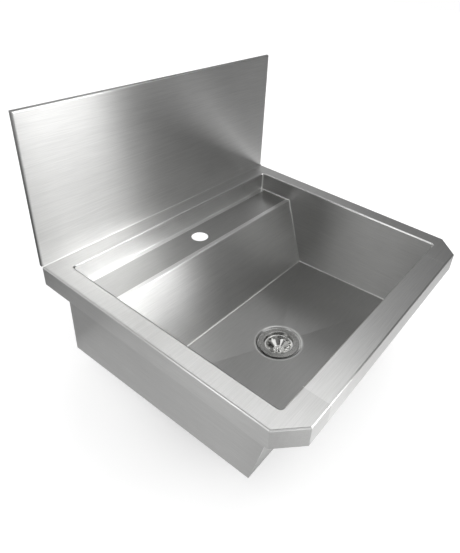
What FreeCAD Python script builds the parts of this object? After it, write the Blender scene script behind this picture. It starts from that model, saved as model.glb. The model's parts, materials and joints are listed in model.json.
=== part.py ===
"""Wall-hung hand wash trough of folded sheet steel, with a basket waste. All sizes in millimetres.

X runs along the wall, Y points into the wall and Z up. The origin lies on the wall, at mid-width,
level with the screw holes of the wall rail.
"""
import FreeCAD, Part
import math
import os

# Sheet metal of the trough
sheet = 1.2
fold_radius = 3.0  # outside of a fold

# Overall size
width = 600.0
deck_depth = 530.0  # splashback's face to the front edge
splash_height = 275.0
splash_return = 7.0  # splashback's face to the wall

# Rim around the opening
side_rim_width = 35.0
rear_rim_width = 35.0
front_rim_width = 46.0
apron_height = 37.0
corner_cut = 39.0  # each leg of a cut-off front corner
opening_corner_radius = 6.0
front_seam_run = 50.0  # opening's side to the weld seam in the front rim

# Tap ledge
ledge_drop = 43.0
ledge_depth = 85.0
ledge_hem = 10.0  # strips of the ledge folded from the riser's and the back wall's sheet
tap_hole_radius = 17.5

# Bowl
bowl_depth = 201.0  # deck to the floor's rear edge
back_wall_run = 51.0
front_wall_run = 41.0
floor_rise = 12.0  # front edge of the floor above its rear edge
crease_fall = 0.5  # floor's rear edge down to the meeting point of the creases
waste_run_share = 0.489  # of the floor's depth, from its rear edge to the waste
wall_lap = 2.4  # back wall below the floor's rear edge

# End plates
end_plate_wall_gap = 12.6
end_plate_rear_skirt = 12.0  # below the floor's rear edge
end_plate_front_skirt = 6.5  # below the floor's front edge

# Wall rail and lower brackets
rail_sheet = 2.0
rail_fold_radius = 4.0
rail_height = 40.0
rail_lip = 10.0
rail_end_gap = 15.0  # rail's end to the end plate
rail_hang_clearance = 0.5
rail_hole_inset = 50.0  # rail's end to a screw hole
bracket_height = 50.0
bracket_wall_leg = 34.0
bracket_plate_leg = 45.0
bracket_set_in = 8.0  # end plate to where the bracket leaves the wall
bracket_bend_gap = 3.4  # end plate's rear edge to where the bracket leaves the plate
bracket_lift = 43.0  # end plate's rear foot to the bracket's middle
screw_hole_radius = 4.5

# Seat of the waste in the floor
seat_drop = 1.5  # meeting point of the creases to the seat
seat_radius = 44.5
seat_rounding = 2.0
seat_wall_angle = 48.0
seat_wall_reach = 12.0
recess_rounding = 3.0  # where the floor turns down to the seat
floor_hole_radius = 31.5

# Waste fitting
cup_wall = 1.2
flange_radius = 42.0
flange_edge_rounding = 0.8
mouth_rounding = 2.5
step_radius = 30.0
step_depth = 3.0  # seat to the step that the strainer rests on
step_rounding = 0.3
cup_radius = 27.0
cup_depth = 30.0
cup_rounding = 4.0
outlet_bore_radius = 21.0
outlet_relief_radius = 22.9
outlet_relief_length = 1.5  # between the cup and the thread
outlet_thread_radius = 23.9
outlet_length = 25.0
seal_thickness = 1.5
seal_edge_inset = 1.5
under_seal_thickness = 3.0
clamp_ring_radius = 41.5  # lower seal and friction washer
friction_washer_thickness = 1.0
thread_clearance = 0.15
nut_height = 10.0
nut_radius = 36.0
nut_lug_reach = 4.0
nut_lug_width = 12.0
nut_lug_count = 6

# Strainer and its lifting knob
strainer_sheet = 1.0
strainer_clearance = 0.5
strainer_rim_width = 3.7
strainer_shoulder_radius = 22.5
strainer_shoulder_depth = 6.5
strainer_depth = 14.0
strainer_centre_radius = 10.5
strainer_rounding = 2.0
slot_count = 5
slot_turn = 28.0  # angle from X to the first slot
slot_width = 2.2
slot_start_radius = 11.8
slot_end_radius = 19.0
drain_hole_radius = 1.4
drain_hole_pitch_radius = 22.4
post_stem_radius = 2.9
post_stem_clearance = 0.1
post_skirt_radius = 9.0
post_shoulder_radius = 5.0
post_neck_radius = 4.2
post_knob_radius = 5.6
post_skirt_height = 2.8
post_neck_height = 3.8
post_height = 6.6
post_knob_bevel = 0.8
post_dimple_radius = 2.2
post_dimple_depth = 1.5
rivet_head_radius = 5.0
rivet_head_height = 1.5

overrun = 20.0  # how far a cutting shape passes what it cuts
full_turn = 360.0

# Places worked out from the sizes above
half_width = width / 2
splash_face = -splash_return
front_edge = splash_face - deck_depth
deck = rail_height / 2 + sheet
under_deck = deck - sheet
apron_foot = deck - apron_height
opening_half = half_width - side_rim_width
opening_rear = splash_face - rear_rim_width
opening_front = front_edge + front_rim_width
lip_end = deck - fold_radius
rear_seam = opening_half + fold_radius
front_seam = opening_half - front_seam_run
ledge_top = deck - ledge_drop
ledge_front = opening_rear - ledge_depth
floor_rear = ledge_front - back_wall_run
floor_front = opening_front + front_wall_run
floor_rear_height = deck - bowl_depth
floor_front_height = floor_rear_height + floor_rise
floor_tilt = math.degrees(math.atan(floor_rise / (floor_rear - floor_front)))
front_wall_foot = floor_front_height - end_plate_front_skirt
end_plate_foot = floor_rear_height - end_plate_rear_skirt
waste_y = floor_rear - waste_run_share * (floor_rear - floor_front)
crease_meeting = floor_rear_height - crease_fall
front_wall_rise = lip_end - floor_front_height
front_wall_thickness = sheet * math.hypot(front_wall_run, front_wall_rise) / front_wall_rise  # level cut
flange_top = seal_thickness + cup_wall
cup_outer_radius = cup_radius + cup_wall
strainer_top = strainer_sheet - step_depth
strainer_base = strainer_top - strainer_depth

origin = FreeCAD.Vector(0, 0, 0)
along_x = FreeCAD.Vector(1, 0, 0)
along_y = FreeCAD.Vector(0, 1, 0)
up = FreeCAD.Vector(0, 0, 1)
section_to_wall = FreeCAD.Rotation(FreeCAD.Vector(1, 1, 1), full_turn / 3)
section_upright = FreeCAD.Rotation(along_x, full_turn / 4)
waste_centre = FreeCAD.Vector(0, waste_y, crease_meeting - seat_drop)
waste_place = FreeCAD.Placement(waste_centre, FreeCAD.Rotation(along_x, -floor_tilt))


def box(low, high):
    """Block between two opposite corners."""
    size = [b - a for a, b in zip(low, high)]
    return Part.makeBox(*size, FreeCAD.Vector(*low))


def outline(points):
    """Flat face on a closed outline, drawn in X and Y."""
    corners = [FreeCAD.Vector(a, b, 0) for a, b in points]
    return Part.Face(Part.makePolygon(corners + corners[:1]))


def block(points, low, high):
    """Straight-sided block on a plan outline, from one height to another."""
    return outline(points).translated(up * low).extrude(up * (high - low))


def across(section, low, high):
    """Solid whose section, drawn as Y and Z, runs along X."""
    placed = section.transformed(FreeCAD.Placement(along_x * low, section_to_wall).toMatrix())
    return placed.extrude(along_x * (high - low))


def turned(section):
    """Solid whose section, drawn as radius and height, is turned about Z."""
    placed = section.transformed(FreeCAD.Placement(origin, section_upright).toMatrix())
    return placed.revolve(origin, up, full_turn)


def ring(inner, outer, low, high):
    """Flat ring about Z."""
    return turned(outline([(inner, low), (outer, low), (outer, high), (inner, high)]))


def spun(shape, count, start=0):
    """Copies of a shape at even steps about Z, from a starting angle."""
    return [shape.rotated(origin, up, start + full_turn * index / count) for index in range(count)]


def mirrored(shape):
    """The same piece on the other side of the middle."""
    return shape.mirror(origin, along_x)


def offset_path(points, amount):
    """Open path moved to its left by an amount, with its corners kept sharp."""
    flat = [FreeCAD.Vector(a, b, 0) for a, b in points]
    runs = [(end - start).normalize() for start, end in zip(flat, flat[1:])]
    sides = [FreeCAD.Vector(-run.y, run.x, 0) * amount for run in runs]
    moved = [flat[0] + sides[0]]
    for corner, first, second, run, next_run in zip(flat[1:], sides, sides[1:], runs, runs[1:]):
        reach = (second - first).cross(next_run).z / run.cross(next_run).z
        moved.append(corner + first + run * reach)
    moved.append(flat[-1] + sides[-1])
    return [(point.x, point.y) for point in moved]


def rounded_path(points, radii):
    """Edges of an open path, each inner corner rounded to its radius."""
    flat = [FreeCAD.Vector(a, b, 0) for a, b in points]
    edges = []
    last = flat[0]
    for before, corner, after, radius in zip(flat, flat[1:], flat[2:], radii):
        back = (before - corner).normalize()
        ahead = (after - corner).normalize()
        half_angle = back.getAngle(ahead) / 2
        reach = radius / math.tan(half_angle)
        depth = radius / math.sin(half_angle) - radius
        middle = corner + (back + ahead).normalize() * depth
        edges.append(Part.makeLine(last, corner + back * reach))
        edges.append(Part.Arc(corner + back * reach, middle, corner + ahead * reach).toShape())
        last = corner + ahead * reach
    edges.append(Part.makeLine(last, flat[-1]))
    return edges


def folded(points, thickness, radii=()):
    """Section of a bent sheet: the path is its near face, and the sheet lies to the path's left."""
    flat = [FreeCAD.Vector(a, b, 0) for a, b in points]
    far_radii = []
    for start, corner, end, radius in zip(flat, flat[1:], flat[2:], radii):
        left_turn = (corner - start).cross(end - corner).z > 0
        far_radii.append(radius - thickness if left_turn else radius + thickness)
    near = rounded_path(points, radii)
    far = rounded_path(offset_path(points, thickness), far_radii)
    first = Part.makeLine(near[0].firstVertex().Point, far[0].firstVertex().Point)
    last = Part.makeLine(near[-1].lastVertex().Point, far[-1].lastVertex().Point)
    return Part.Face(Part.Wire(Part.__sortEdges__(near + [last] + far + [first])))


def rim_outline(inset):
    """Plan of the rim's outer edge, drawn in by an inset and carried on behind the splashback's face."""
    side = half_width - inset
    front = front_edge + inset
    leg = corner_cut - inset * (2 - math.sqrt(2))
    rear = splash_face + overrun
    half = [(side, rear), (side, front + leg), (side - leg, front)]
    return half + [(-x, y) for x, y in reversed(half)]


def opening_block(outset, low, high):
    """Block that fills the bowl's opening, let out by an outset."""
    side = opening_half + outset
    plain = box((-side, opening_front - outset, low), (side, opening_rear + outset, high))
    upright = [edge for edge in plain.Edges if edge.tangentAt(edge.FirstParameter).z]
    return plain.makeFillet(opening_corner_radius + outset, upright)


def rim_block(inset, low, high, radius):
    """Solid ring under the deck's surface, with its upper edges rounded."""
    solid = block(rim_outline(inset), low, high).cut(opening_block(inset, low - overrun, high + overrun))
    edges = [e for e in solid.Edges if e.BoundBox.ZMin > high - sheet and e.CenterOfMass.y < splash_face]
    return solid.makeFillet(radius, edges)


def make_rims():
    """The deck around the opening: four strips with their aprons and the lips that turn into the bowl."""
    shell = rim_block(0, apron_foot, deck, fold_radius)
    shell = shell.cut(rim_block(sheet, apron_foot - overrun, under_deck, fold_radius - sheet))
    shell = shell.cut(opening_block(fold_radius, apron_foot - overrun, lip_end))
    low = apron_foot - overrun
    high = deck + overrun
    rear_zone = box((-rear_seam, opening_rear - opening_corner_radius, low), (rear_seam, splash_face, high))
    front_zone = box((-front_seam, front_edge - overrun, low), (front_seam, opening_front + overrun, high))
    left_zone = box((-half_width - overrun, front_edge - overrun, low), (0, splash_face, high))
    left = shell.common(left_zone).cut(rear_zone).cut(front_zone)
    return {
        "rear_rim": shell.common(rear_zone),
        "front_rim": shell.common(front_zone),
        "left_rim": left,
        "right_rim": mirrored(left),
    }


def splash_block(inset, low, rear):
    """Block of the splashback, drawn in by an inset, with its front edges rounded."""
    side = half_width - inset
    face = splash_face + inset
    solid = box((-side, face, low), (side, rear, deck + splash_height - inset))
    edges = [e for e in solid.Edges if e.BoundBox.YMax < face + sheet and e.CenterOfMass.z > low + sheet]
    return solid.makeFillet(fold_radius - inset, edges)


def make_splashback():
    """Tall panel with its returns, standing on the rear end of the deck."""
    tray = splash_block(0, deck, 0).cut(splash_block(sheet, deck - overrun, overrun))
    side = half_width - fold_radius
    foot = box((-side, splash_face, under_deck), (side, splash_face + sheet, deck))
    return tray.fuse(foot).removeSplitter()


def make_tap_riser():
    """Low wall behind the ledge, with the rear strip of the ledge folded from the same sheet."""
    path = [(opening_rear, lip_end), (opening_rear, ledge_top), (opening_rear - ledge_hem, ledge_top)]
    return across(folded(path, sheet, [fold_radius - sheet]), -opening_half, opening_half)


def make_tap_ledge():
    """Flat ledge with the tap hole."""
    low = (-opening_half, ledge_front + ledge_hem, ledge_top - sheet)
    high = (opening_half, opening_rear - ledge_hem, ledge_top)
    hole_centre = FreeCAD.Vector(0, (opening_rear + ledge_front) / 2, ledge_top - overrun)
    return box(low, high).cut(Part.makeCylinder(tap_hole_radius, 2 * overrun, hole_centre))


def make_bowl_back():
    """Sloping wall that is folded down from the ledge's front strip and runs past the floor."""
    lap_run = back_wall_run * wall_lap / (bowl_depth - ledge_drop)
    foot = (floor_rear - lap_run, floor_rear_height - wall_lap)
    path = [(ledge_front + ledge_hem, ledge_top), (ledge_front, ledge_top), foot]
    return across(folded(path, sheet, [fold_radius]), -opening_half, opening_half)


def front_wall_y(height):
    """Inner face of the leaning front wall at a height."""
    return opening_front + front_wall_run * (lip_end - height) / front_wall_rise


def make_bowl_front():
    """Leaning front wall, from the rim's lip to the foot of the end plates."""
    top = front_wall_y(lip_end)
    foot = front_wall_y(front_wall_foot)
    inner = [(top, lip_end), (foot, front_wall_foot)]
    outer = [(y - front_wall_thickness, z) for y, z in reversed(inner)]
    return across(outline(inner + outer), -opening_half, opening_half)


def make_end_plate():
    """Flat wall at the left end, which reaches back towards the wall."""
    foot = front_wall_y(front_wall_foot) - front_wall_thickness
    top = front_wall_y(lip_end) - front_wall_thickness
    rear = -end_plate_wall_gap
    points = [(rear, lip_end), (rear, end_plate_foot), (foot, front_wall_foot), (top, lip_end)]
    return across(outline(points), -opening_half - sheet, -opening_half)


def space_over_floor(lowering):
    """Space over the four creased facets of the floor, lowered by an amount, up to the deck."""
    corners = [
        FreeCAD.Vector(-opening_half, floor_rear, floor_rear_height - lowering),
        FreeCAD.Vector(opening_half, floor_rear, floor_rear_height - lowering),
        FreeCAD.Vector(opening_half, floor_front, floor_front_height - lowering),
        FreeCAD.Vector(-opening_half, floor_front, floor_front_height - lowering),
    ]
    lids = [FreeCAD.Vector(corner.x, corner.y, deck) for corner in corners]
    meeting = FreeCAD.Vector(0, waste_y, crease_meeting - lowering)
    rings = [lids]
    for index in range(len(corners)):
        after = (index + 1) % len(corners)
        rings.append([corners[index], corners[after], meeting])
        rings.append([corners[index], corners[after], lids[after], lids[index]])
    faces = [Part.Face(Part.makePolygon(points + points[:1])) for points in rings]
    return Part.Solid(Part.makeShell(faces))


def waste_recess(lowering):
    """Space of the dished recess over the waste's seat, let out by an amount."""
    angle = math.radians(seat_wall_angle)
    rise = seat_wall_reach * math.sin(angle)
    path = [(0, 0), (seat_radius, 0), (seat_radius + seat_wall_reach * math.cos(angle), rise)]
    edges = rounded_path(offset_path(path, -lowering), [seat_rounding + lowering])
    start = edges[0].firstVertex().Point
    end = edges[-1].lastVertex().Point
    top = FreeCAD.Vector(0, end.y, 0)
    section = Part.Face(Part.Wire(edges + [Part.makeLine(end, top), Part.makeLine(top, start)]))
    return turned(section).transformed(waste_place.toMatrix())


def space_in_floor():
    """Space over the floor and in its recess, with a rounded edge between the two."""
    space = space_over_floor(0).fuse(waste_recess(0)).removeSplitter()
    to_waste = waste_place.inverse()
    edges = []
    for edge in space.Edges:
        middle = to_waste.multVec(edge.valueAt((edge.FirstParameter + edge.LastParameter) / 2))
        reach = math.hypot(middle.x, middle.y)
        if seat_radius < reach < seat_radius + seat_wall_reach and middle.z > seat_drop / 2:
            edges.append(edge)
    return space.makeFillet(recess_rounding, edges)


def make_bowl_floor(walls):
    """Creased floor with the dished seat and its hole, trimmed to the walls that it meets."""
    floor = space_over_floor(sheet).fuse(waste_recess(sheet)).removeSplitter().cut(space_in_floor())
    hole = Part.makeCylinder(floor_hole_radius, 2 * overrun, up * -overrun)
    floor = floor.cut(hole.transformed(waste_place.toMatrix()))
    for wall in walls:
        floor = floor.cut(wall)
    return floor


def make_wall_rail():
    """Hooked rail that is screwed to the wall and carries the rear rim."""
    half = rail_height / 2
    front = opening_rear + sheet + rail_hang_clearance
    path = [(0, -half), (0, half), (front, half), (front, half - rail_lip)]
    reach = opening_half - rail_end_gap
    rail = across(folded(path, rail_sheet, [rail_fold_radius] * 2), -reach, reach)
    for hole_x in (rail_hole_inset - reach, reach - rail_hole_inset):
        start = FreeCAD.Vector(hole_x, -overrun, 0)
        rail = rail.cut(Part.makeCylinder(screw_hole_radius, 2 * overrun, start, along_y))
    return rail


def make_wall_bracket():
    """Angle on the left end plate, set in behind its rear edge, with one hole for a wall screw."""
    inner = -opening_half
    bend = -end_plate_wall_gap - bracket_bend_gap
    path = [(inner + bracket_wall_leg, 0), (inner + bracket_set_in, 0), (inner, bend), (inner, -bracket_plate_leg)]
    middle_height = end_plate_foot + bracket_lift
    foot = middle_height - bracket_height / 2
    section = folded(path, rail_sheet, [rail_fold_radius] * 2).translated(up * foot)
    angle = section.extrude(up * bracket_height)
    middle = inner + (bracket_wall_leg + rail_fold_radius) / 2
    start = FreeCAD.Vector(middle, -overrun, middle_height)
    return angle.cut(Part.makeCylinder(screw_hole_radius, 2 * overrun, start, along_y))


def make_waste_cup():
    """Pressed flange and cup with the threaded outlet below it."""
    path = [
        (flange_radius, flange_top),
        (step_radius, flange_top),
        (step_radius, -step_depth),
        (cup_radius, -step_depth),
        (cup_radius, -cup_depth),
        (outlet_bore_radius, -cup_depth),
    ]
    radii = [mouth_rounding, step_rounding, step_rounding + cup_wall, cup_rounding]
    cup = turned(folded(path, cup_wall, radii))
    upper = [e for e in cup.Edges if e.BoundBox.ZMin > flange_top - cup_wall / 2]
    outer = [e for e in upper if e.BoundBox.XMax > flange_radius - cup_wall]
    cup = cup.makeFillet(flange_edge_rounding, outer)
    thread_top = -cup_depth - cup_wall - outlet_relief_length
    relief = ring(outlet_bore_radius, outlet_relief_radius, thread_top, -cup_depth)
    thread = ring(outlet_bore_radius, outlet_thread_radius, thread_top - outlet_length, thread_top)
    return cup.fuse([relief, thread]).removeSplitter()


def make_back_nut(top):
    """Ring nut with lugs, under a height."""
    foot = top - nut_height
    nut = ring(cup_outer_radius + thread_clearance, nut_radius, foot, top)
    half = nut_lug_width / 2
    lug = box((nut_radius - nut_lug_reach, -half, foot), (nut_radius + nut_lug_reach, half, top))
    return nut.fuse(spun(lug, nut_lug_count)).removeSplitter()


def make_strainer():
    """Dished strainer with radial slots, a drain hole beyond each, and a hole for its post."""
    rim = step_radius - strainer_clearance
    path = [
        (rim, strainer_top),
        (rim - strainer_rim_width, strainer_top),
        (strainer_shoulder_radius, strainer_top - strainer_shoulder_depth),
        (strainer_centre_radius, strainer_base),
        (0, strainer_base),
    ]
    dish = turned(folded(path, strainer_sheet, [strainer_rounding] * 3))
    foot = strainer_base - overrun
    height = 2 * overrun
    half = slot_width / 2
    slot = box((slot_start_radius, -half, foot), (slot_end_radius, half, foot + height))
    end_places = [FreeCAD.Vector(reach, 0, foot) for reach in (slot_start_radius, slot_end_radius)]
    ends = [Part.makeCylinder(half, height, place) for place in end_places]
    hole = Part.makeCylinder(drain_hole_radius, height, FreeCAD.Vector(drain_hole_pitch_radius, 0, foot))
    stem_hole = Part.makeCylinder(post_stem_radius + post_stem_clearance, height, up * foot)
    cuts = spun(slot.fuse(ends), slot_count, slot_turn) + spun(hole, slot_count, slot_turn)
    return dish.cut(cuts + [stem_hole])


def make_basket_post():
    """Lifting knob, riveted through the middle of the strainer."""
    rivet_top = strainer_base - strainer_sheet
    rivet_foot = rivet_top - rivet_head_height
    neck_top = strainer_base + post_neck_height
    top = strainer_base + post_height
    points = [
        (0, rivet_foot),
        (rivet_head_radius, rivet_foot),
        (rivet_head_radius, rivet_top),
        (post_stem_radius, rivet_top),
        (post_stem_radius, strainer_base),
        (post_skirt_radius, strainer_base),
        (post_shoulder_radius, strainer_base + post_skirt_height),
        (post_neck_radius, strainer_base + post_skirt_height),
        (post_neck_radius, neck_top),
        (post_knob_radius, neck_top + post_knob_bevel),
        (post_knob_radius, top - post_knob_bevel),
        (post_knob_radius - post_knob_bevel, top),
        (post_dimple_radius, top),
        (post_dimple_radius, top - post_dimple_depth),
        (0, top - post_dimple_depth),
    ]
    return turned(outline(points))


def make_waste():
    """Waste fitting on its own axis, with the strainer in it and the clamping parts under the floor."""
    under_seal_foot = -sheet - under_seal_thickness
    washer_foot = under_seal_foot - friction_washer_thickness
    seal_inner = step_radius + mouth_rounding + seal_edge_inset
    seal_outer = flange_radius - seal_edge_inset
    return {
        "waste_cup": make_waste_cup(),
        "flange_seal": ring(seal_inner, seal_outer, 0, seal_thickness),
        "under_seal": ring(floor_hole_radius, clamp_ring_radius, under_seal_foot, -sheet),
        "friction_washer": ring(floor_hole_radius, clamp_ring_radius, washer_foot, under_seal_foot),
        "back_nut": make_back_nut(washer_foot),
        "strainer_basket": make_strainer(),
        "basket_post": make_basket_post(),
    }


def make_nodes():
    """Every piece by its name."""
    nodes = {"splashback": make_splashback()}
    nodes.update(make_rims())
    nodes["tap_riser"] = make_tap_riser()
    nodes["tap_ledge"] = make_tap_ledge()
    nodes["bowl_back"] = make_bowl_back()
    nodes["bowl_front"] = make_bowl_front()
    nodes["bowl_floor"] = make_bowl_floor([nodes["bowl_back"], nodes["bowl_front"]])
    nodes["left_end_plate"] = make_end_plate()
    nodes["right_end_plate"] = mirrored(nodes["left_end_plate"])
    nodes["wall_rail"] = make_wall_rail()
    nodes["left_wall_bracket"] = make_wall_bracket()
    nodes["right_wall_bracket"] = mirrored(nodes["left_wall_bracket"])
    for name, shape in make_waste().items():
        nodes[name] = shape.transformed(waste_place.toMatrix())
    return nodes


os.makedirs("parts", exist_ok=True)
for name, shape in make_nodes().items():
    shape.exportStep(f"parts/{name}.step")
    print(name, shape.ShapeType, len(shape.Solids), shape.isValid(), round(shape.Volume))
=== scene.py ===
# %% [markdown]
# # A hand wash trough in satin stainless steel
# The trough hangs on a wall: a deep bowl folded and welded from thin sheet, a tall splashback, a sunken
# ledge for the tap and a basket waste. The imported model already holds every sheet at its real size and
# place. This lesson adds what the workshop adds last: the ground welds in the corners, the seams of the
# deck, and the brushed finish that makes steel look like steel.

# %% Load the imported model
import json
import math

import bmesh
import bpy
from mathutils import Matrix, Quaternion, Vector


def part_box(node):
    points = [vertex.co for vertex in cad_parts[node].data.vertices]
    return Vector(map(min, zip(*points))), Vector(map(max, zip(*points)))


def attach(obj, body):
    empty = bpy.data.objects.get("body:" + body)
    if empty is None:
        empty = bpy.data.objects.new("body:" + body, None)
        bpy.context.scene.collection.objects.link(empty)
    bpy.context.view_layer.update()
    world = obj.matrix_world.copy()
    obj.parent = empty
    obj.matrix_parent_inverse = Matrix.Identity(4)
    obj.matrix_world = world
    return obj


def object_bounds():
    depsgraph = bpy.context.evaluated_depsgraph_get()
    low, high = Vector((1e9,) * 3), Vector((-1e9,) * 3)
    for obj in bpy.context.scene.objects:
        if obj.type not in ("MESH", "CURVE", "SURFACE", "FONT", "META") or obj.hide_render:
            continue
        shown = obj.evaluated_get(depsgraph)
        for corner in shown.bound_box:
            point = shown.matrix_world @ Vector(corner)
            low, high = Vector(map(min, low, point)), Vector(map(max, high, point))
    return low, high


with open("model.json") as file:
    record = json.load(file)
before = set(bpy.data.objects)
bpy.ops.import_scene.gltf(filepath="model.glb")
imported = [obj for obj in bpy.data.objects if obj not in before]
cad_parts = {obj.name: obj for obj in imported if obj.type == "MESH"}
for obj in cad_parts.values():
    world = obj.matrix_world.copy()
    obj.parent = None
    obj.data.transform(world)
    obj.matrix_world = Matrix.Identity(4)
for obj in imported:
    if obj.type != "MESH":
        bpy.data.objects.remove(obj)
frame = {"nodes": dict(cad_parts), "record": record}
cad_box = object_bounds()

mm = 0.001
nodes = frame["nodes"]
print("sheets and fittings:", len(nodes), "box in mm:", [round(v / mm) for v in cad_box[1] - cad_box[0]])

# %% [markdown]
# ## Where things are
# A node's box gives its lowest and highest corner, and its vertices give the edges of a sloping sheet. So
# the deck's height or the bowl's corners are read from the sheets instead of being typed in again, and what
# is added later stays on its sheet.

# %% Places on the trough
place_digits = 5  # digits of a metre that tell two places apart

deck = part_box("rear_rim")[1].z
splash_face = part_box("rear_rim")[1].y
half_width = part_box("splashback")[1].x
bowl_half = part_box("bowl_floor")[1].x
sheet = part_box("right_end_plate")[1].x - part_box("right_end_plate")[0].x
floor_places = [vertex.co for vertex in nodes["bowl_floor"].data.vertices]
floor_rear = max(floor_places, key=lambda place: (round(place.y, place_digits), place.z))
floor_front = min(floor_places, key=lambda place: (round(place.y, place_digits), -place.z))
print("deck at", round(deck / mm, 1), "mm, bowl half-width", round(bowl_half / mm, 1), "mm")
print("floor falls", round((floor_front.z - floor_rear.z) / mm, 1), "mm to the rear")

# %% [markdown]
# The waste leans with the floor, and the strainer lifts out along its axis, so the joint in the record
# gives that axis. The floor is dished around it. The edge of that seat is the last ring of the floor's
# vertices that is nearer to the axis than the waste is wide.

# %% The waste's axis and seat
lift = frame["record"]["behaviour"]["joints"][0]
waste_axis = Vector(lift["axis"])
waste_low, waste_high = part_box("waste_cup")
waste_centre = Vector((0, (waste_low.y + waste_high.y) / 2, waste_high.z))
waste_width = waste_high.x - waste_low.x
seat_radii = [waste_axis.cross(place - waste_centre).length for place in floor_places]
seat_edge = max(radius for radius in seat_radii if radius < waste_width)
print("waste's axis:", [round(v, 3) for v in waste_axis], "centre:", [round(v / mm) for v in waste_centre])
print("the waste's seat reaches", round(seat_edge / mm, 1), "mm from its axis")

# %% [markdown]
# ## The camera
# The picture was taken from above the front left corner with a fairly wide lens, and it is a little rolled.
# A view could be found by eye, but this one was fitted to the trough's straight edges, so that its sheets
# lie where the picture has them. The lens is shifted, because the trough isn't in the middle of the frame.

# %% Camera
image_width = 460
image_height = 553
camera_place = Vector((-0.6326, -0.7019, 0.5636))
camera_aim = Vector((0.1094, -0.2155, 0.0212))
camera_roll = math.radians(6.1)
focal_pixels = 495.0
lens_centre = (282.0, 222.8)  # pixels from the picture's top left corner
sensor_width = 36.0  # millimetres, as Blender counts lenses

camera_data = bpy.data.cameras.new("camera")
camera = bpy.data.objects.new("camera", camera_data)
bpy.context.scene.collection.objects.link(camera)
camera_data.sensor_width = sensor_width
camera_data.lens = sensor_width * focal_pixels / image_height
camera_data.shift_x = (image_width / 2 - lens_centre[0]) / image_height
camera_data.shift_y = (lens_centre[1] - image_height / 2) / image_height
camera.rotation_mode = "QUATERNION"
camera.location = camera_place
roll = Quaternion((0, 0, 1), camera_roll)
camera.rotation_quaternion = (camera_aim - camera_place).to_track_quat("-Z", "Y") @ roll
bpy.context.scene.camera = camera
print("lens in mm:", round(camera_data.lens, 1))

# %% [markdown]
# ## Tools for materials
# Colours are written as they look on a screen and turned into light by one function, which uses the numbers
# of the sRGB standard. Another one adds a node, sets its settings and plugs in its inputs, so that each
# material below reads as a short list.

# %% Colour and node tools
def colour(hex_code):
    """An sRGB hex value as the linear colour that a shader takes."""
    shares = [int(hex_code[start:start + 2], 16) / 255 for start in (1, 3, 5)]
    return [s / 12.92 if s <= 0.04045 else ((s + 0.055) / 1.055) ** 2.4 for s in shares] + [1.0]


def add(tree, kind, inputs=None, **settings):
    """Adds a node with its settings; each input is a value or another node's output."""
    node = tree.nodes.new(kind)
    for name, value in settings.items():
        setattr(node, name, value)
    for name, value in (inputs or {}).items():
        if isinstance(value, bpy.types.NodeSocket):
            tree.links.new(value, node.inputs[name])
        else:
            node.inputs[name].default_value = value
    return node


def new_material(name):
    """An empty material, its node tree and its output."""
    material = bpy.data.materials.new(name)
    material.use_nodes = True
    tree = material.node_tree
    tree.nodes.clear()
    return material, tree, add(tree, "ShaderNodeOutputMaterial")


print("a mid grey as light:", [round(share, 3) for share in colour("#808080")])

# %% [markdown]
# Every finish here is a tone that patterns make a little lighter and darker. A pattern is noise with spots
# of a real size. Its values crowd around a half, so the range in which most of them lie is stretched to the
# range that is wanted. A tone is then multiplied by one pattern after the other.

# %% Patterns and tones
noise_low, noise_high = 0.3, 0.7  # most of a noise pattern lies between these values
colour_a, colour_b, colour_out = 6, 7, 2  # a Mix node's sockets for colours
vector_a, vector_b, vector_out = 4, 5, 1  # and for vectors


def spots(tree, place, size, detail=2.0):
    """Noise whose spots measure size, three lengths along the axes."""
    scale = [1 / length for length in size]
    stretched = add(tree, "ShaderNodeMapping", {"Vector": place, "Scale": scale}).outputs[0]
    return add(tree, "ShaderNodeTexNoise", {"Vector": stretched, "Scale": 1.0, "Detail": detail}).outputs[0]


def between(pattern, low, high):
    """The inputs of a Map Range node that brings a pattern to the range from low to high."""
    return {"Value": pattern, "From Min": noise_low, "From Max": noise_high, "To Min": low, "To Max": high}


def shaded(tree, tone, tints, shares=()):
    """A tone that each pattern varies between two shares of it, and that further shares multiply."""
    varied = [add(tree, "ShaderNodeMapRange", between(pattern, *limits)) for pattern, limits in tints]
    shade = colour(tone)
    for share in [node.outputs["Result"] for node in varied] + list(shares):
        product = {0: 1.0, colour_a: shade, colour_b: share}
        multiply = add(tree, "ShaderNodeMix", product, data_type="RGBA", blend_type="MULTIPLY")
        shade = multiply.outputs[colour_out]
    return shade


print("patterns run from", noise_low, "to", noise_high)

# %% [markdown]
# ## Satin sheet
# The sheets are brushed with an abrasive belt, which leaves fine scratches that all run one way. Light is
# smeared across them and stays sharp along them, so a lamp shows as a band that runs over every fold. On
# the splashback, the deck and the bowl the scratches run from left to right, and on the end plates and the
# aprons at the sides from front to back.
#
# The direction could be painted, or taken from a UV map. Here a face's normal tells which way it was
# brushed, because a sheet either runs from left to right or stands at a side.

# %% The way the brushing runs
facing_limit = 0.6  # a face looks along an axis when its normal's share of that axis is above this


def brushing(tree, place, facing):
    """Places and a tangent for scratches along X, or along Y on faces that look to the side."""
    sideways = add(tree, "ShaderNodeMath", {0: facing["X"]}, operation="ABSOLUTE").outputs[0]
    compared = {0: sideways, 1: facing_limit}
    side_on = add(tree, "ShaderNodeMath", compared, operation="GREATER_THAN").outputs[0]
    quarter = {"Vector": place, "Angle": math.pi / 2}
    turned_place = add(tree, "ShaderNodeVectorRotate", quarter, rotation_type="Z_AXIS").outputs[0]
    places = {0: side_on, vector_a: place, vector_b: turned_place}
    directions = {0: side_on, vector_a: (1, 0, 0), vector_b: (0, 1, 0)}
    grain = add(tree, "ShaderNodeMix", places, data_type="VECTOR").outputs[vector_out]
    tangent = add(tree, "ShaderNodeMix", directions, data_type="VECTOR").outputs[vector_out]
    return grain, tangent


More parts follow.
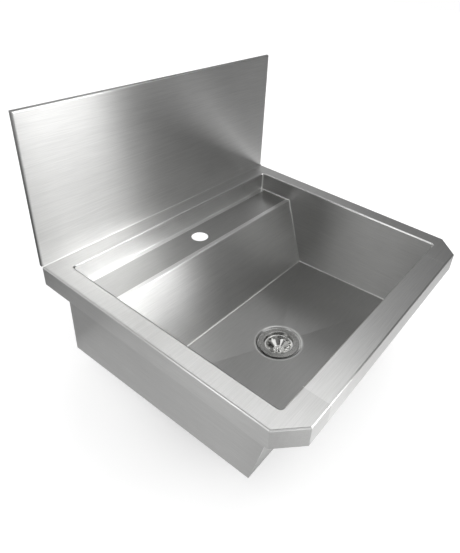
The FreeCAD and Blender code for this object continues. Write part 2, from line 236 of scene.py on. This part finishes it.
side_turn = math.degrees(math.asin(facing_limit))
print("faces turned more than", round(side_turn), "degrees to the side are brushed along Y")

# %% [markdown]
# Two places get painted light and shade in their colour. The seat of the waste is pressed smooth, and its
# colour is made brighter there as a painted sheen. The splashback's narrow returns are given a darker
# colour, a painted shade in place of the dark that they mirror, and they draw a line around it. Both could
# be pieces of their own with another material. A share that the tone is multiplied by leaves the sheet
# whole.

# %% Painted sheen on the seat and painted shade on the returns
seat_fade = 3 * mm


def around_waste(tree, place):
    """The way around the waste's axis, as long as a place is far from the axis."""
    offset = {0: place, 1: waste_centre}
    from_centre = add(tree, "ShaderNodeVectorMath", offset, operation="SUBTRACT").outputs["Vector"]
    turn = {0: waste_axis, 1: from_centre}
    return add(tree, "ShaderNodeVectorMath", turn, operation="CROSS_PRODUCT").outputs["Vector"]


def share_on_seat(tree, place, shine):
    """A painted sheen: a share that is shine on the waste's seat and falls to 1 just beyond its edge."""
    around = around_waste(tree, place)
    radius = add(tree, "ShaderNodeVectorMath", {0: around}, operation="LENGTH").outputs["Value"]
    fade = {"Value": radius, "From Min": seat_edge, "From Max": seat_edge + seat_fade,
            "To Min": shine, "To Max": 1.0}
    return add(tree, "ShaderNodeMapRange", fade).outputs["Result"]


def share_on_returns(tree, facing, shade):
    """A painted shade: a share that is shade on faces that look neither forward nor back, and 1 elsewhere.
    """
    forward = add(tree, "ShaderNodeMath", {0: facing["Y"]}, operation="ABSOLUTE").outputs[0]
    compared = {0: forward, 1: facing_limit}
    folded = add(tree, "ShaderNodeMath", compared, operation="LESS_THAN").outputs[0]
    dulled = {"Value": folded, "To Min": 1.0, "To Max": shade}
    return add(tree, "ShaderNodeMapRange", dulled).outputs["Result"]


print("the seat's shine ends", round((seat_edge + seat_fade) / mm, 1), "mm from the waste's axis")

# %% [markdown]
# The sheets share one finish, given in different tones that are painted light and shade. The back wall and
# the riser are painted brightest. The rear and left rims are painted a little darker, the end plates and the
# front wall darker, then come the ledge and the floor, in the painted shade of the bowl. Long bands and soft
# clouds keep each of them from looking painted.

# %% Satin sheet
scratch_width = 0.75 * mm  # the real ones are 0.1 mm wide, too fine for the picture to show
scratch_length = 40 * mm
scratch_depth = 0.02 * mm
scratch_strength = 0.012
scratch_tint = (0.94, 1.06)
band_width = 5 * mm
band_length = 260 * mm
band_tint = (0.98, 1.02)
band_roughness = 0.01
cloud_size = 90 * mm
cloud_tint = (0.98, 1.02)
full_smear = 1.0
across_tangent = 0.25  # a quarter turn smears light across the scratches


def satin_sheet(name, tone, roughness=0.29, seat_shine=None, return_shade=None):
    """Brushed steel; the waste's seat may get a painted sheen and the splashback's returns a painted shade.
    """
    material, tree, output = new_material(name)
    place = add(tree, "ShaderNodeTexCoord").outputs["Object"]
    normal = add(tree, "ShaderNodeNewGeometry").outputs["Normal"]
    facing = add(tree, "ShaderNodeSeparateXYZ", {0: normal}).outputs
    grain, tangent = brushing(tree, place, facing)
    scratches = spots(tree, grain, (scratch_length, scratch_width, scratch_width))
    bands = spots(tree, grain, (band_length, band_width, band_width))
    clouds = spots(tree, place, (cloud_size, cloud_size, cloud_size))
    tints = [(scratches, scratch_tint), (bands, band_tint), (clouds, cloud_tint)]
    shares = []
    if seat_shine is not None:
        shares.append(share_on_seat(tree, place, seat_shine))
    if return_shade is not None:
        shares.append(share_on_returns(tree, facing, return_shade))
    relief = {"Height": scratches, "Strength": scratch_strength, "Distance": scratch_depth}
    gloss = between(bands, roughness - band_roughness, roughness + band_roughness)
    steel = add(tree, "ShaderNodeBsdfPrincipled", {
        "Base Color": shaded(tree, tone, tints, shares), "Metallic": 1.0,
        "Roughness": add(tree, "ShaderNodeMapRange", gloss).outputs["Result"],
        "Anisotropic": full_smear, "Anisotropic Rotation": across_tangent, "Tangent": tangent,
        "Normal": add(tree, "ShaderNodeBump", relief).outputs[0]})
    tree.links.new(steel.outputs[0], output.inputs["Surface"])
    return material


satin = satin_sheet("satin_stainless_sheet", "#D9D9D8")
# The splashback's returns get a painted shade.
splash_satin = satin_sheet("satin_stainless_splashback", "#D9D9D8", return_shade=0.42)
# Lighter and darker copies of the same steel: painted light and painted shade.
rim_satin = satin_sheet("satin_stainless_rim_painted_shade", "#CDCDCC")
back_satin = satin_sheet("satin_stainless_back_wall_painted_light", "#E9E9E8")
ledge_satin = satin_sheet("satin_stainless_ledge_painted_shade", "#B4B4B3")
bowl_satin = satin_sheet("satin_stainless_bowl_painted_shade", "#C6C6C5")
# The floor is painted darker, and its seat gets a painted sheen.
floor_satin = satin_sheet("satin_stainless_floor_painted_shade", "#A9A9A8", roughness=0.32, seat_shine=1.6)
print("satin sheet has", len(satin.node_tree.nodes), "nodes")

# %% [markdown]
# ## Mill sheet
# The rail and the brackets are never seen in use, so they keep the dull grey skin of the rolling mill, with
# faint clouds, a fine pickled grain and a stray scratch. Light isn't smeared one way on it, so it needs no
# tangent, and plain roughness will do.

# %% Mill sheet
mill_grain = 0.6 * mm
mill_grain_tint = (0.97, 1.03)
mill_cloud = 25 * mm
mill_cloud_detail = 4.0
mill_cloud_tint = (0.93, 1.05)
mill_roughness = (0.34, 0.44)
score_depth = 0.02 * mm
score_strength = 0.05

mill, tree, output = new_material("mill_stainless_sheet")
place = add(tree, "ShaderNodeTexCoord").outputs["Object"]
specks = spots(tree, place, (mill_grain, mill_grain, mill_grain))
clouds = spots(tree, place, (mill_cloud, mill_cloud, mill_cloud), mill_cloud_detail)
scores = spots(tree, place, (scratch_length, scratch_width, scratch_length))
relief = {"Height": scores, "Strength": score_strength, "Distance": score_depth}
gloss = between(clouds, *mill_roughness)
steel = add(tree, "ShaderNodeBsdfPrincipled", {
    "Base Color": shaded(tree, "#C3C4C5", [(clouds, mill_cloud_tint), (specks, mill_grain_tint)]),
    "Metallic": 1.0, "Roughness": add(tree, "ShaderNodeMapRange", gloss).outputs["Result"],
    "Normal": add(tree, "ShaderNodeBump", relief).outputs[0]})
tree.links.new(steel.outputs[0], output.inputs["Surface"])
print("mill sheet has", len(tree.nodes), "nodes")

# %% [markdown]
# ## Bright fittings
# The waste is pressed from thin sheet and turned on a lathe, so its scratches are rings around its axis.
# The strainer is polished further and shows the room almost like a mirror, with only a little haze. The
# rings are noise along the distance from the axis. Bump alone would make them glitter, so the light is also
# smeared across the way around the axis, as it is across the scratches of the sheet.

# %% Bright fittings
ring_width = 2.5 * mm  # real turning marks are 0.2 mm wide, too fine for the picture to show
ring_detail = 2.0
ring_depth = 0.05 * mm
ring_strength = 0.03
ring_tint = (0.94, 1.04)
haze_size = 6 * mm
haze_tint = (0.98, 1.02)
haze_roughness = 0.02
half_smear = 0.5


def bright_steel(name, tone, roughness):
    """Turned steel: rings about the waste's axis, and highlights smeared across them."""
    material, tree, output = new_material(name)
    place = add(tree, "ShaderNodeTexCoord").outputs["Object"]
    around = around_waste(tree, place)
    tangent = add(tree, "ShaderNodeVectorMath", {0: around}, operation="NORMALIZE").outputs["Vector"]
    radius = add(tree, "ShaderNodeVectorMath", {0: around}, operation="LENGTH").outputs["Value"]
    turning = {"W": radius, "Scale": 1 / ring_width, "Detail": ring_detail}
    rings = add(tree, "ShaderNodeTexNoise", turning, noise_dimensions="1D").outputs[0]
    haze = spots(tree, place, (haze_size, haze_size, haze_size))
    relief = {"Height": rings, "Strength": ring_strength, "Distance": ring_depth}
    gloss = between(haze, roughness - haze_roughness, roughness + haze_roughness)
    steel = add(tree, "ShaderNodeBsdfPrincipled", {
        "Base Color": shaded(tree, tone, [(rings, ring_tint), (haze, haze_tint)]), "Metallic": 1.0,
        "Roughness": add(tree, "ShaderNodeMapRange", gloss).outputs["Result"],
        "Anisotropic": half_smear, "Anisotropic Rotation": across_tangent, "Tangent": tangent,
        "Normal": add(tree, "ShaderNodeBump", relief).outputs[0]})
    tree.links.new(steel.outputs[0], output.inputs["Surface"])
    return material


# The waste's cup is toned darker than the strainer, a painted shade.
turned = bright_steel("turned_stainless_waste_painted_shade", "#A8A8A6", roughness=0.28)
polished = bright_steel("polished_stainless_strainer", "#E6E6E4", roughness=0.12)
print("turned steel has", len(turned.node_tree.nodes), "nodes")

# %% [markdown]
# ## Rubber and plastic
# The two seals are moulded black rubber with a dusty bloom. The washer and the back nut are white
# polypropylene, a waxy plastic with a fine spark-eroded grain. Both are moulded, so one function makes both.
# They bend light about as much as the shader's own IOR of 1.5, so that stays.

# %% Rubber and plastic
bloom_size = 8 * mm
bloom_detail = 3.0
bloom_roughness = 0.05
mould_grain = 0.5 * mm
mould_depth = 0.05 * mm


def moulded(name, tone, roughness, unevenness, grain_strength):
    """A moulded piece with a dusty bloom and a fine grain."""
    material, tree, output = new_material(name)
    place = add(tree, "ShaderNodeTexCoord").outputs["Object"]
    bloom = spots(tree, place, (bloom_size, bloom_size, bloom_size), bloom_detail)
    grain = spots(tree, place, (mould_grain, mould_grain, mould_grain))
    relief = {"Height": grain, "Strength": grain_strength, "Distance": mould_depth}
    gloss = between(bloom, roughness - bloom_roughness, roughness + bloom_roughness)
    skin = add(tree, "ShaderNodeBsdfPrincipled", {
        "Base Color": shaded(tree, tone, [(bloom, (1 - unevenness, 1 + unevenness))]),
        "Roughness": add(tree, "ShaderNodeMapRange", gloss).outputs["Result"],
        "Normal": add(tree, "ShaderNodeBump", relief).outputs[0]})
    tree.links.new(skin.outputs[0], output.inputs["Surface"])
    return material


rubber = moulded("black_moulded_rubber", "#2B2B2C", roughness=0.72, unevenness=0.12, grain_strength=0.25)
polypropylene = moulded("white_polypropylene", "#DEDDD6", roughness=0.46, unevenness=0.02,
                        grain_strength=0.15)
print("rubber has", len(rubber.node_tree.nodes), "nodes")

# %% [markdown]
# ## Each piece gets its material
# The record names a slot for every node, and the slot gives the material. The cup is turned where the
# strainer is polished, and its darker tone is painted shade. The sheets that are painted lighter or darker
# than the splashback, as painted light and shade, have their own tone.

# %% Materials on the imported pieces
slot_materials = {
    "satin_steel": satin, "mill_steel": mill, "bright_steel": polished, "seal_rubber": rubber,
    "nut_plastic": polypropylene,
}
own_materials = {
    "splashback": splash_satin, "rear_rim": rim_satin, "left_rim": rim_satin,
    "bowl_back": back_satin, "tap_riser": back_satin, "tap_ledge": ledge_satin,
    "bowl_front": bowl_satin, "left_end_plate": bowl_satin, "right_end_plate": bowl_satin,
    "bowl_floor": floor_satin, "waste_cup": turned,
}
for piece in frame["record"]["subparts"]:
    node = nodes[piece["node"]]
    node.data.materials.clear()
    node.data.materials.append(own_materials.get(piece["node"], slot_materials[piece["material_slot"]]))
print("materials:", sorted({node.data.materials[0].name for node in nodes.values()}))

# %% [markdown]
# ## Ground welds
# Where two sheets meet, the welder lays a bead into the corner, then grinds and polishes it to a small
# hollow fillet. That fillet shows as a thin bright line, because its curve always finds a lamp. The grinding
# leaves soft ripples that point no way, so this steel smears light evenly, and it is brighter than most of
# the sheets.

# %% Weld material
ripple_size = 4 * mm
ripple_depth = 0.05 * mm
ripple_strength = 0.05
ripple_tint = (0.95, 1.04)
ripple_roughness = (0.28, 0.32)

weld_steel, tree, output = new_material("ground_weld")
place = add(tree, "ShaderNodeTexCoord").outputs["Object"]
ripples = spots(tree, place, (ripple_size, ripple_size, ripple_size))
relief = {"Height": ripples, "Strength": ripple_strength, "Distance": ripple_depth}
gloss = between(ripples, *ripple_roughness)
steel = add(tree, "ShaderNodeBsdfPrincipled", {
    "Base Color": shaded(tree, "#E4E4E2", [(ripples, ripple_tint)]), "Metallic": 1.0,
    "Roughness": add(tree, "ShaderNodeMapRange", gloss).outputs["Result"],
    "Normal": add(tree, "ShaderNodeBump", relief).outputs[0]})
tree.links.new(steel.outputs[0], output.inputs["Surface"])
print("ground weld has", len(tree.nodes), "nodes")

# %% [markdown]
# Each weld is drawn as a bar. A plane is set into the corner and extruded from station to station, and the
# bar's free long edges are bevelled: with a hollow profile for a fillet, and with a round one for a bead. A
# swept curve would do as well, but a bar keeps its mitres sharp where the sheet turns.

# %% A bar drawn through stations
same_place = 0.001 * mm


def at(place, places):
    """The number of the place that this one lies on, or None."""
    for number, other in enumerate(places):
        if (place - other).length < same_place:
            return number
    return None


def extrude_bar(name, stations):
    """A bar that a plane leaves when it is extruded through stations of four corners."""
    bpy.ops.object.select_all(action="DESELECT")
    bpy.ops.mesh.primitive_plane_add(size=1)
    bar = bpy.context.object
    bar.name = name
    bpy.ops.object.mode_set(mode="EDIT")
    mesh = bmesh.from_edit_mesh(bar.data)
    mesh.faces.ensure_lookup_table()
    for vertex, corner in zip(mesh.faces[0].verts, stations[0]):
        vertex.co = corner
    bmesh.update_edit_mesh(bar.data)
    for before, after in zip(stations, stations[1:]):
        bpy.ops.mesh.extrude_region_move(TRANSFORM_OT_translate={"value": (0, 0, 0)})
        mesh = bmesh.from_edit_mesh(bar.data)
        for vertex in [vertex for vertex in mesh.verts if vertex.select]:
            vertex.co = after[at(vertex.co, before)]
        bmesh.update_edit_mesh(bar.data)
    bpy.ops.mesh.select_all(action="SELECT")
    bpy.ops.mesh.normals_make_consistent(inside=False)
    bpy.ops.object.mode_set(mode="OBJECT")
    return bar


print("places closer than", round(same_place / mm, 3), "mm count as one")

# %% [markdown]
# A long edge is found by its place: both of its ends lie on the line that one corner of the stations draws.
# Only such edges are selected, so the bevel leaves the bar's ends and its seat on the sheets alone.

# %% A bar with its free edges bevelled
bevel_segments = 6
smooth_angle = math.radians(40)


def draw_bar(name, stations, free, offset, profile, material):
    """A bar through stations of four corners, with the long edges at its free corners bevelled."""
    bar = extrude_bar(name, stations)
    bpy.ops.object.mode_set(mode="EDIT")
    bpy.ops.mesh.select_mode(type="EDGE")
    bpy.ops.mesh.select_all(action="DESELECT")
    mesh = bmesh.from_edit_mesh(bar.data)
    for corner in free:
        line = [station[corner] for station in stations]
        for edge in mesh.edges:
            if all(at(vertex.co, line) is not None for vertex in edge.verts):
                edge.select_set(True)
    bmesh.update_edit_mesh(bar.data)
    bpy.ops.mesh.bevel(offset=offset, segments=bevel_segments, profile=profile, affect="EDGES")
    bpy.ops.object.mode_set(mode="OBJECT")
    bpy.ops.object.shade_smooth_by_angle(angle=smooth_angle)
    bar.data.materials.append(material)
    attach(bar, "trough")
    print(name, "has", len(bar.data.polygons), "faces")
    return bar


# %% [markdown]
# A fillet's bar starts as a square in the corner. Two of its sides lie on the sheets, and the edge that
# stands free is bevelled almost as deep as the square, so that only a thin hollow web is left.

# %% A hollow fillet
hollow_profile = 0.12
hollow_share = 0.96


def fillet(name, corners, steps, reach, material=weld_steel):
    """A hollow fillet along corners; steps holds the two directions along the sheets at each corner."""
    stations = []
    for corner, (one, other) in zip(corners, steps):
        far = corner + (one + other) * reach
        stations.append([corner, corner + one * reach, far, corner + other * reach])
    return draw_bar(name, stations, [2], hollow_share * reach, hollow_profile, material)


print("a fillet is bevelled in", bevel_segments, "steps")

# %% [markdown]
# The bowl's section runs from the deck's lip down the riser, over the ledge, down the back wall, along the
# floor and up the front wall. One bar on each side follows all of it, so the step inwards at each station
# is mitred: it halves the turn and is a little longer than the fillet's reach.

# %% The bowl's section
riser_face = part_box("tap_riser")[1].y - sheet
riser_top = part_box("tap_riser")[1].z
ledge_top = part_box("tap_ledge")[1].z
back_places = [vertex.co for vertex in nodes["bowl_back"].data.vertices]
ledge_front = min(place.y for place in back_places if place.z > ledge_top - 2 * sheet)
front_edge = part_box("front_rim")[1].y
front_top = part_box("bowl_front")[1].z
section = [
    Vector((0, riser_face, riser_top)), Vector((0, riser_face, ledge_top)),
    Vector((0, ledge_front, ledge_top)), Vector((0, floor_rear.y, floor_rear.z)),
    Vector((0, floor_front.y, floor_front.z)), Vector((0, front_edge, front_top)),
]
runs = [(end - start).normalized() for start, end in zip(section, section[1:])]
inward = [Vector((0, run.z, -run.y)) for run in runs]
mitres = [(one + other) / (1 + one.dot(other)) for one, other in zip(inward, inward[1:])]
steps = [inward[0]] + mitres + [inward[-1]]
print("the section's runs in mm:", [round((b - a).length / mm) for a, b in zip(section, section[1:])])

# %% [markdown]
# At the foot of the back wall and of the front wall, a weld lies across the floor and meets those of the
# sides. All four are ground to the same small reach.

# %% Welds in the bowl
weld_reach = 2.2 * mm

for name, side in (("left_bowl_weld", -1), ("right_bowl_weld", 1)):
    corners = [Vector((side * bowl_half, point.y, point.z)) for point in section]
    fillet(name, corners, [(step, Vector((-side, 0, 0))) for step in steps], weld_reach)
rear_corner, front_corner = section[3:5]
down_back, along_floor, up_front = runs[2:]
for name, point, one, other in (("rear_floor_weld", rear_corner, -down_back, along_floor),
                                ("front_floor_weld", front_corner, -along_floor, up_front)):
    ends = [Vector((side * bowl_half, point.y, point.z)) for side in (-1, 1)]
    fillet(name, ends, [(one, other)] * 2, weld_reach)

# %% [markdown]
# ## The splashback's fold
# The splashback rises from the deck in a fold with a small inner radius. It could be bevelled into the
# sheets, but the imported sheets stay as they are, so a hollow fillet is laid into the corner. It is smaller
# than the welds and brushed like the sheet, and it shows as a fine bright line.

# %% Splashback's fold
fold_reach = 1.4 * mm
fold_ends = [Vector((side * half_width, splash_face, deck)) for side in (-1, 1)]
fillet("splash_fold", fold_ends, [(Vector((0, -1, 0)), Vector((0, 0, 1)))] * 2, fold_reach, satin)

# %% [markdown]
# ## Seams of the deck
# The deck is welded together from strips. The seams are ground nearly flush, and what is left is a low
# round bead, less than a tenth of a millimetre high, that the light picks out as a fine line across the rim.
# A painted line would look the same from one side only. A front seam stops where the rim begins to round
# down into its apron.

# %% Seams of the deck
seam_width = 1.4 * mm
seam_height = 0.08 * mm
rim_rounding = 4.0 * mm
round_profile = 0.5
round_share = 0.95

rear_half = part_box("rear_rim")[1].x
front_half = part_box("front_rim")[1].x
rear_run = (splash_face - fold_reach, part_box("rear_rim")[0].y)
front_run = (front_edge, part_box("front_rim")[0].y + rim_rounding)
left = Vector((-seam_width / 2, 0, 0))
right = Vector((seam_width / 2, 0, 0))
rise = Vector((0, 0, seam_height))
for name, x, run, finish in (("rear_left_seam", -rear_half, rear_run, rim_satin),
                             ("rear_right_seam", rear_half, rear_run, rim_satin),
                             ("front_left_seam", -front_half, front_run, satin),
                             ("front_right_seam", front_half, front_run, satin)):
    feet = [Vector((x, y, deck)) for y in run]
    stations = [[foot + left, foot + right, foot + right + rise, foot + left + rise] for foot in feet]
    draw_bar(name, stations, [2, 3], round_share * seam_height, round_profile, finish)

# %% [markdown]
# ## Stitches on the wall brackets
# Each bracket is held to its end plate by two short welds along its front edge. They are small fillets too,
# so the same function draws all four, each one from its foot to its head.

# %% Stitches on the wall brackets
stitch_length = 14 * mm
stitch_inset = 6 * mm
stitch_reach = 1.4 * mm

for side_name, side in (("left", -1), ("right", 1)):
    bracket_low, bracket_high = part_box(side_name + "_wall_bracket")
    upper_foot = bracket_high.z - stitch_inset - stitch_length
    for end_name, foot in (("lower", bracket_low.z + stitch_inset), ("upper", upper_foot)):
        heights = (foot, foot + stitch_length)
        ends = [Vector((side * bowl_half, bracket_low.y, height)) for height in heights]
        sides = [(Vector((0, -1, 0)), Vector((-side, 0, 0)))] * 2
        fillet(side_name + "_" + end_name + "_stitch", ends, sides, stitch_reach)

# %% [markdown]
# ## The studio
# The trough stands over a floor of pale paper. A white floor could be lit until it clips, but then the steel
# would be too bright as well. Here the paper takes the soft shadow, and a glow that only the camera and
# reflections see brings it up to the white of the background. The world around it is white cloth.

# %% Floor
floor_size = 12.0
floor_height = cad_box[0].z
floor_glow = 0.45
paper_colour = colour("#D3D3D3")
white = colour("#FFFFFF")

bpy.ops.object.select_all(action="DESELECT")
bpy.ops.mesh.primitive_plane_add(size=floor_size, location=(0, 0, floor_height))
floor = bpy.context.object
floor.name = "floor"
material, tree, output = new_material("white_floor")
ray = add(tree, "ShaderNodeLightPath").outputs
rays = {0: ray["Is Camera Ray"], 1: ray["Is Glossy Ray"]}
seen = add(tree, "ShaderNodeMath", rays, operation="MAXIMUM").outputs[0]
rays = {0: seen, 1: ray["Is Transmission Ray"]}
seen = add(tree, "ShaderNodeMath", rays, operation="MAXIMUM").outputs[0]
paper = add(tree, "ShaderNodeBsdfDiffuse", {"Color": paper_colour})
strength = add(tree, "ShaderNodeMath", {0: seen, 1: floor_glow}, operation="MULTIPLY").outputs[0]
glow = add(tree, "ShaderNodeEmission", {"Color": white, "Strength": strength})
both = add(tree, "ShaderNodeAddShader", {0: paper.outputs[0], 1: glow.outputs[0]})
tree.links.new(both.outputs[0], output.inputs["Surface"])
floor.data.materials.append(material)
print("floor at", round(floor_height / mm, 1), "mm")

# %% World
world = bpy.data.worlds.new("studio")
bpy.context.scene.world = world
world.use_nodes = True
tree = world.node_tree
tree.nodes.clear()
output = add(tree, "ShaderNodeOutputWorld")
cloth = add(tree, "ShaderNodeBackground", {"Color": white, "Strength": 1.0})
tree.links.new(cloth.outputs[0], output.inputs["Surface"])
bpy.context.scene.view_settings.view_transform = "Standard"
print("world:", world.name, "view:", bpy.context.scene.view_settings.view_transform)

# %% [markdown]
# ## Panels of the tent
# Steel shows what stands around it, so it is photographed in a tent of white cloth that is hung with bright
# strips, plain cards and dark flags. Each is a glowing panel that only reflections see: the camera looks
# through it, and it casts no shadow. A lamp lights the floor as well. Area lights can't be darker than the
# cloth behind them, and the dark flags are what gives brushed steel its contrast, so panels do both.

# %% A panel of the tent
def panel(name, low, high, brightness, top_brightness=None, lamp=False):
    """An upright or lying card between two corners, which may fade to another brightness at its top."""
    low = Vector(low)
    high = Vector(high)
    span = high - low
    thin = min(range(3), key=lambda axis: span[axis])
    wide, tall = [axis for axis in range(3) if axis != thin]
    bpy.ops.object.select_all(action="DESELECT")
    bpy.ops.mesh.primitive_plane_add(size=1)
    card = bpy.context.object
    card.name = name
    card.data.name = name
    for vertex in card.data.vertices:
        corner = (low + high) / 2
        corner[wide] += vertex.co.x * span[wide]
        corner[tall] += vertex.co.y * span[tall]
        vertex.co = corner
    material, tree, output = new_material(name)
    glow = add(tree, "ShaderNodeEmission", {"Color": white, "Strength": brightness})
    if top_brightness is not None:
        place = add(tree, "ShaderNodeTexCoord").outputs["Object"]
        height = add(tree, "ShaderNodeSeparateXYZ", {0: place}).outputs["Z"]
        fade = {"Value": height, "From Min": low.z, "From Max": high.z,
                "To Min": brightness, "To Max": top_brightness}
        tree.links.new(add(tree, "ShaderNodeMapRange", fade).outputs["Result"], glow.inputs["Strength"])
    tree.links.new(glow.outputs[0], output.inputs["Surface"])
    card.data.materials.append(material)
    card.visible_camera = False
    card.visible_shadow = False
    card.visible_diffuse = lamp
    print(name, "is", round(span[wide], 2), "by", round(span[tall], 2), "m")
    return card


# %% [markdown]
# The main light is a wide softbox at the front, with a bright strip at its right. The splashback mirrors
# both, and its white part ends where the strip's right edge shows.

# %% Front of the tent
tent_left, tent_right = -1.6, 1.6
tent_front, tent_back = -2.4, 1.6
tent_foot, tent_top = floor_height, 2.0
strip_left = 0.8
strip_low_right, strip_right, strip_top_right = 1.44, 1.42, 1.10
strip_foot, strip_head, strip_peak = 0.5, 1.35, 3.2

panel("front_softbox", (tent_left, tent_front, tent_foot), (strip_left, tent_front, tent_top),
      brightness=1.9, lamp=True)
panel("front_strip_low", (strip_left, tent_front, tent_foot), (strip_low_right, tent_front, strip_foot),
      brightness=2.5, lamp=True)
panel("front_strip", (strip_left, tent_front, strip_foot), (strip_right, tent_front, strip_head),
      brightness=7.8, lamp=True)
panel("front_strip_top", (strip_left, tent_front, strip_head), (strip_top_right, tent_front, strip_peak),
      brightness=0.9, lamp=True)

# %% [markdown]
# The sheets that face up mirror the back of the tent, which a flag darkens. A strip above the flag and a
# softbox overhead give them some light back.

# %% Back of the tent and softbox overhead
back_flag_left, back_flag_top = -0.6, 1.4
back_strip_left = 0.7
overhead_left = 0.2
overhead_front, overhead_back = -0.4, 0.35

panel("back_flag", (back_flag_left, tent_back, tent_foot), (tent_right, tent_back, back_flag_top),
      brightness=0.05)
panel("back_strip", (back_strip_left, tent_back, back_flag_top), (tent_right, tent_back, tent_top),
      brightness=3.0, lamp=True)
panel("top_softbox", (overhead_left, overhead_front, tent_top), (tent_right, overhead_back, tent_top),
      brightness=1.9, lamp=True)

# %% [markdown]
# Flags on the right darken the right half of every sheet. Those in the middle grow brighter towards the top.
# The right and front rims mirror them, which gives the rims their even grey.

# %% Right of the tent
right_foot, right_top = 0.45, 2.4
right_middle_front, right_middle_back = -0.4, 0.45
right_fade = 1.5

panel("right_flag_foot", (tent_right, tent_front, tent_foot), (tent_right, tent_back, right_foot),
      brightness=0.30)
panel("right_flag_front", (tent_right, tent_front, right_foot), (tent_right, right_middle_front, right_top),
      brightness=0.14)
panel("right_flag_back", (tent_right, right_middle_front, right_foot),
      (tent_right, right_middle_back, right_fade), brightness=0.14, top_brightness=0.62)
panel("right_flag_top", (tent_right, right_middle_front, right_fade),
      (tent_right, right_middle_back, right_top), brightness=0.62, top_brightness=1.9)
panel("right_flag_rear", (tent_right, right_middle_back, right_foot), (tent_right, tent_back, right_top),
      brightness=0.36, top_brightness=0.8)

# %% [markdown]
# Flags under the ceiling and at the left keep the bowl's right wall dark, and a bright card beside the left
# one gives it a soft highlight.

# %% Ceiling and left of the tent
ceiling_back = 1.3
ceiling_left_edge, ceiling_left_back = 0.1, -0.3
left_flag_back = -0.3
left_card_front, left_card_back = 0.08, 0.54
left_card_foot = 0.3

panel("ceiling_flag", (tent_left, overhead_back, tent_top), (tent_right, ceiling_back, tent_top),
      brightness=0.12)
panel("ceiling_left_flag", (tent_left, tent_front, tent_top),
      (ceiling_left_edge, ceiling_left_back, tent_top), brightness=0.15)
panel("left_flag", (tent_left, tent_front, tent_foot), (tent_left, left_flag_back, tent_top),
      brightness=0.05)
panel("left_card", (tent_left, left_card_front, left_card_foot), (tent_left, left_card_back, tent_top),
      brightness=2.8)

# %% [markdown]
# Seen from above, the left end plate and the aprons mirror the floor. Cards and flags that lie there give
# them their grey: light at the front, and darker towards the wall.

# %% Cards on the floor
lying = floor_height + 2 * mm
under_half, under_front = 0.27, -0.53
left_row_front, left_row_middle, left_row_back = -0.80, 0.05, 0.3
front_card_front, front_card_right = -1.2, 0.75
right_row_back = -0.3

panel("left_floor_flag", (tent_left, left_row_front, lying), (-under_half, left_row_middle, lying),
      brightness=0.60)
panel("left_floor_middle", (tent_left, left_row_middle, lying), (-under_half, left_row_back, lying),
      brightness=0.38)
panel("left_floor_back", (tent_left, left_row_back, lying), (-under_half, tent_back, lying),
      brightness=0.06)
panel("front_floor_card", (-under_half, front_card_front, lying), (front_card_right, under_front, lying),
      brightness=0.98)
panel("under_flag", (-under_half, under_front, lying), (under_half, 0.0, lying), brightness=0.15)
panel("front_floor_flag", (tent_left, tent_front, lying), (tent_right, front_card_front, lying),
      brightness=0.12)
panel("right_floor_flag", (front_card_right, front_card_front, lying), (tent_right, right_row_back, lying),
      brightness=0.15)
